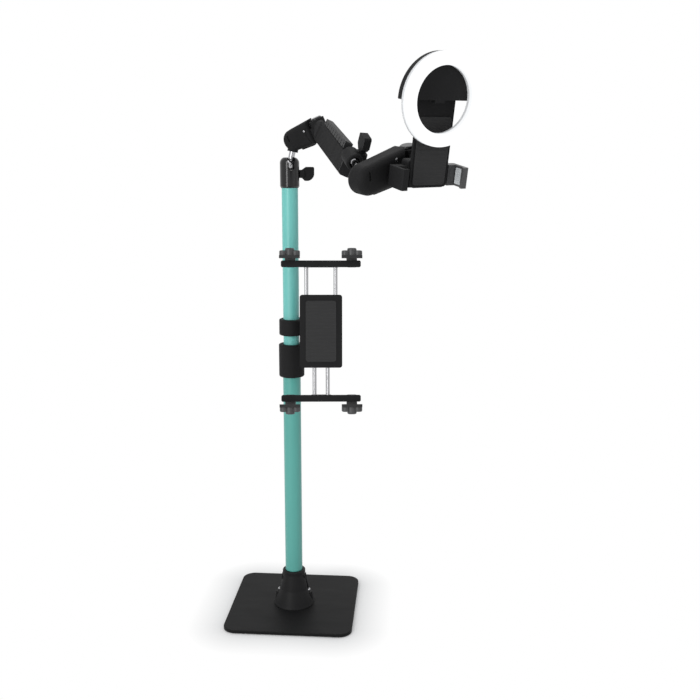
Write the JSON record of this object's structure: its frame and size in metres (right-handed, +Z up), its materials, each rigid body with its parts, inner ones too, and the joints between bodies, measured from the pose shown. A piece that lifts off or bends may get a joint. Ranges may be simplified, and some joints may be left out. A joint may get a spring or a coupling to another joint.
{
  "type": "adjustable floor stand for a tablet and a phone",
  "caption": "Floor stand: square base, telescoping pole, tablet claw holder on a side clamp, and a ball-jointed arm with a sprung phone holder and a clip-on ring light.",
  "frame": {"origin": "on the pole's axis at the floor, the centre of the base pad's underside", "axes": "+Z up the pole; -Y towards the viewer; +X to the viewer's right"},
  "size_m": [0.3595, 0.5941, 0.8359],
  "materials": {
    "black_powder_coat": "fine-textured matt powder coat",
    "foam_pad": "soft closed-cell foam",
    "black_moulding": "satin moulded plastic with a fine grain",
    "gloss_black": "polished black",
    "teal_paint": "smooth satin teal enamel",
    "chrome": "polished",
    "steel": "turned and brushed",
    "nylon": "natural nylon",
    "dark_grey_plastic": "satin dark grey",
    "black_rubber": "soft grippy rubber",
    "pale_pad": "soft pale grey pad",
    "light_diffuser": "emissive white diffuser"
  },
  "bodies": {
    "base": {"base_plate": "black_powder_coat", "base_pad": "foam_pad", "base_bolt": "steel", "foot_plug": "steel", "base_hub": "black_moulding", "hub_screws": "chrome", "lower_tube": "teal_paint", "height_collar": "black_moulding"},
    "collar_knob": {"collar_knob": "black_moulding"},
    "mast": {"upper_tube": "teal_paint", "glide_plug": "nylon", "head_stud": "steel"},
    "head": {"head_body": "gloss_black", "head_cup": "nylon"},
    "head_wing": {"head_wing": "black_moulding"},
    "ball": {"head_ball": "chrome"},
    "near_arm": {"near_link": "black_moulding"},
    "beam": {"beam": "black_moulding", "beam_knuckle": "black_moulding", "beam_rack": "black_moulding", "beam_head": "black_moulding", "elbow_pin": "gloss_black"},
    "lever": {"reach_lever": "black_moulding"},
    "reach_ball": {"reach_ball": "chrome"},
    "far_arm": {"far_link": "black_moulding"},
    "wrist": {"wrist_knuckle": "black_moulding", "wrist_pin": "gloss_black"},
    "phone_holder": {"holder_body": "black_moulding", "left_jaw": "black_moulding", "left_jaw_pad": "pale_pad", "back_rest": "black_moulding", "back_rest_pad": "black_rubber"},
    "jaw": {"right_jaw": "dark_grey_plastic", "right_jaw_pad": "pale_pad", "jaw_rods": "steel"},
    "light": {"light_ring": "light_diffuser", "light_housing": "black_moulding", "front_pad": "black_rubber", "clip_pin": "steel", "clip_spring": "steel"},
    "clip": {"clip_arm": "black_moulding", "clip_pad": "black_rubber"},
    "button": {"light_button": "dark_grey_plastic"},
    "clamp": {"clamp_body": "black_moulding", "swing_pin": "steel"},
    "clamp_knob": {"clamp_knob": "black_moulding"},
    "tablet_arm": {"tablet_arm": "black_moulding"},
    "tablet_socket": {"tablet_socket": "black_moulding"},
    "tablet_nut": {"tablet_nut": "black_moulding"},
    "tablet_holder": {"tablet_core": "black_moulding", "tablet_core_pad": "black_rubber", "lower_rods": "steel", "lower_bar": "black_moulding", "lower_claws": "dark_grey_plastic", "lower_claw_pads": "black_rubber"},
    "tablet_top": {"upper_rods": "steel", "upper_bar": "black_moulding", "upper_claws": "dark_grey_plastic", "upper_claw_pads": "black_rubber"}
  },
  "joints": [
    {"name": "pole_slide", "type": "slide", "parent": "base", "child": "mast", "axis": [0, 0, 1], "range_m": [0, 0.25]},
    {"name": "collar_knob_turn", "type": "hinge", "parent": "base", "child": "collar_knob", "pos_m": [0, 0, 0.4392], "axis": [1, 0, 0], "continuous": true},
    {"name": "head_turn", "type": "hinge", "parent": "mast", "child": "head", "pos_m": [0, 0, 0.723], "axis": [0, 0, 1], "continuous": true},
    {"name": "head_wing_turn", "type": "hinge", "parent": "head", "child": "head_wing", "pos_m": [0, 0, 0.7115], "axis": [0.9511, 0.309, 0], "continuous": true},
    {"name": "head_nod", "type": "hinge", "parent": "head", "child": "ball", "pos_m": [0, 0, 0.723], "axis": [1, 0, 0], "range_deg": [-10, 10]},
    {"name": "arm_spin", "type": "hinge", "parent": "ball", "child": "near_arm", "pos_m": [0, 0, 0.723], "axis": [0.2164, 0, 0.9763], "continuous": true},
    {"name": "elbow", "type": "hinge", "parent": "near_arm", "child": "beam", "pos_m": [0.0497, -0.02089, 0.77652], "axis": [-0.3908, -0.1805, 0.9026], "range_deg": [-30, 100]},
    {"name": "lever_turn", "type": "hinge", "parent": "beam", "child": "lever", "pos_m": [0.13221, -0.40076, 0.73335], "axis": [0.2463, -0.402, 0.8819], "continuous": true},
    {"name": "reach_tilt", "type": "hinge", "parent": "beam", "child": "reach_ball", "pos_m": [0.12474, -0.41013, 0.73116], "axis": [0.2698, 0.5661, -0.7789], "range_deg": [-12, 12]},
    {"name": "reach_spin", "type": "hinge", "parent": "reach_ball", "child": "far_arm", "pos_m": [0.12474, -0.41013, 0.73116], "axis": [0.3513, -0.811, -0.4678], "range_deg": [-20, 20]},
    {"name": "wrist", "type": "hinge", "parent": "far_arm", "child": "wrist", "pos_m": [0.18367, -0.40199, 0.72907], "axis": [-0.0981, -0.2909, 0.9517], "range_deg": [-2, 40]},
    {"name": "phone_turn", "type": "hinge", "parent": "wrist", "child": "phone_holder", "pos_m": [0.20603, -0.43428, 0.72151], "axis": [-0.5591, 0.8073, 0.1891], "range_deg": [-25, 90]},
    {"name": "jaw_slide", "type": "slide", "parent": "phone_holder", "child": "jaw", "axis": [0.824, 0.5663, 0.0186], "range_m": [0, 0.022], "stiffness_N_per_m": 250, "springref_m": -0.02},
    {"name": "light_lift", "type": "slide", "parent": "phone_holder", "child": "light", "axis": [0.092, -0.1662, 0.9818], "range_m": [0, 0.09]},
    {"name": "clip_squeeze", "type": "hinge", "parent": "light", "child": "clip", "pos_m": [0.20928, -0.45088, 0.81414], "axis": [0.824, 0.5663, 0.0186], "range_deg": [0, 15], "stiffness_Nm_per_rad": 0.25, "springref_deg": -14.32},
    {"name": "button_press", "type": "slide", "parent": "light", "child": "button", "axis": [0.5591, -0.8073, -0.1891], "range_m": [0, 0.0008], "stiffness_N_per_m": 700, "springref_m": -0.0006},
    {"name": "clamp_slide", "type": "slide", "parent": "mast", "child": "clamp", "axis": [0, 0, 1], "range_m": [-0.008, 0.06]},
    {"name": "clamp_knob_turn", "type": "hinge", "parent": "clamp", "child": "clamp_knob", "pos_m": [0, 0, 0.4755], "axis": [0, 1, 0], "continuous": true},
    {"name": "tablet_swing", "type": "hinge", "parent": "clamp", "child": "tablet_arm", "pos_m": [0.032, 0, 0.4755], "axis": [0, 0, 1], "range_deg": [-10, 10]},
    {"name": "tablet_tilt", "type": "hinge", "parent": "tablet_arm", "child": "tablet_socket", "pos_m": [0.0507, -0.0334, 0.4755], "axis": [0.9959, 0.0906, 0], "range_deg": [-1.5, 12]},
    {"name": "tablet_nut_turn", "type": "hinge", "parent": "tablet_socket", "child": "tablet_nut", "pos_m": [0.0507, -0.0334, 0.4755], "axis": [-0.0894, 0.9822, -0.165], "continuous": true},
    {"name": "tablet_turn", "type": "hinge", "parent": "tablet_socket", "child": "tablet_holder", "pos_m": [0.05338, -0.06287, 0.48045], "axis": [-0.0894, 0.9822, -0.165], "continuous": true},
    {"name": "tablet_stretch", "type": "slide", "parent": "tablet_holder", "child": "tablet_top", "axis": [-0.015, 0.1644, 0.9863], "range_m": [-0.026, 0.015]}
  ]
}
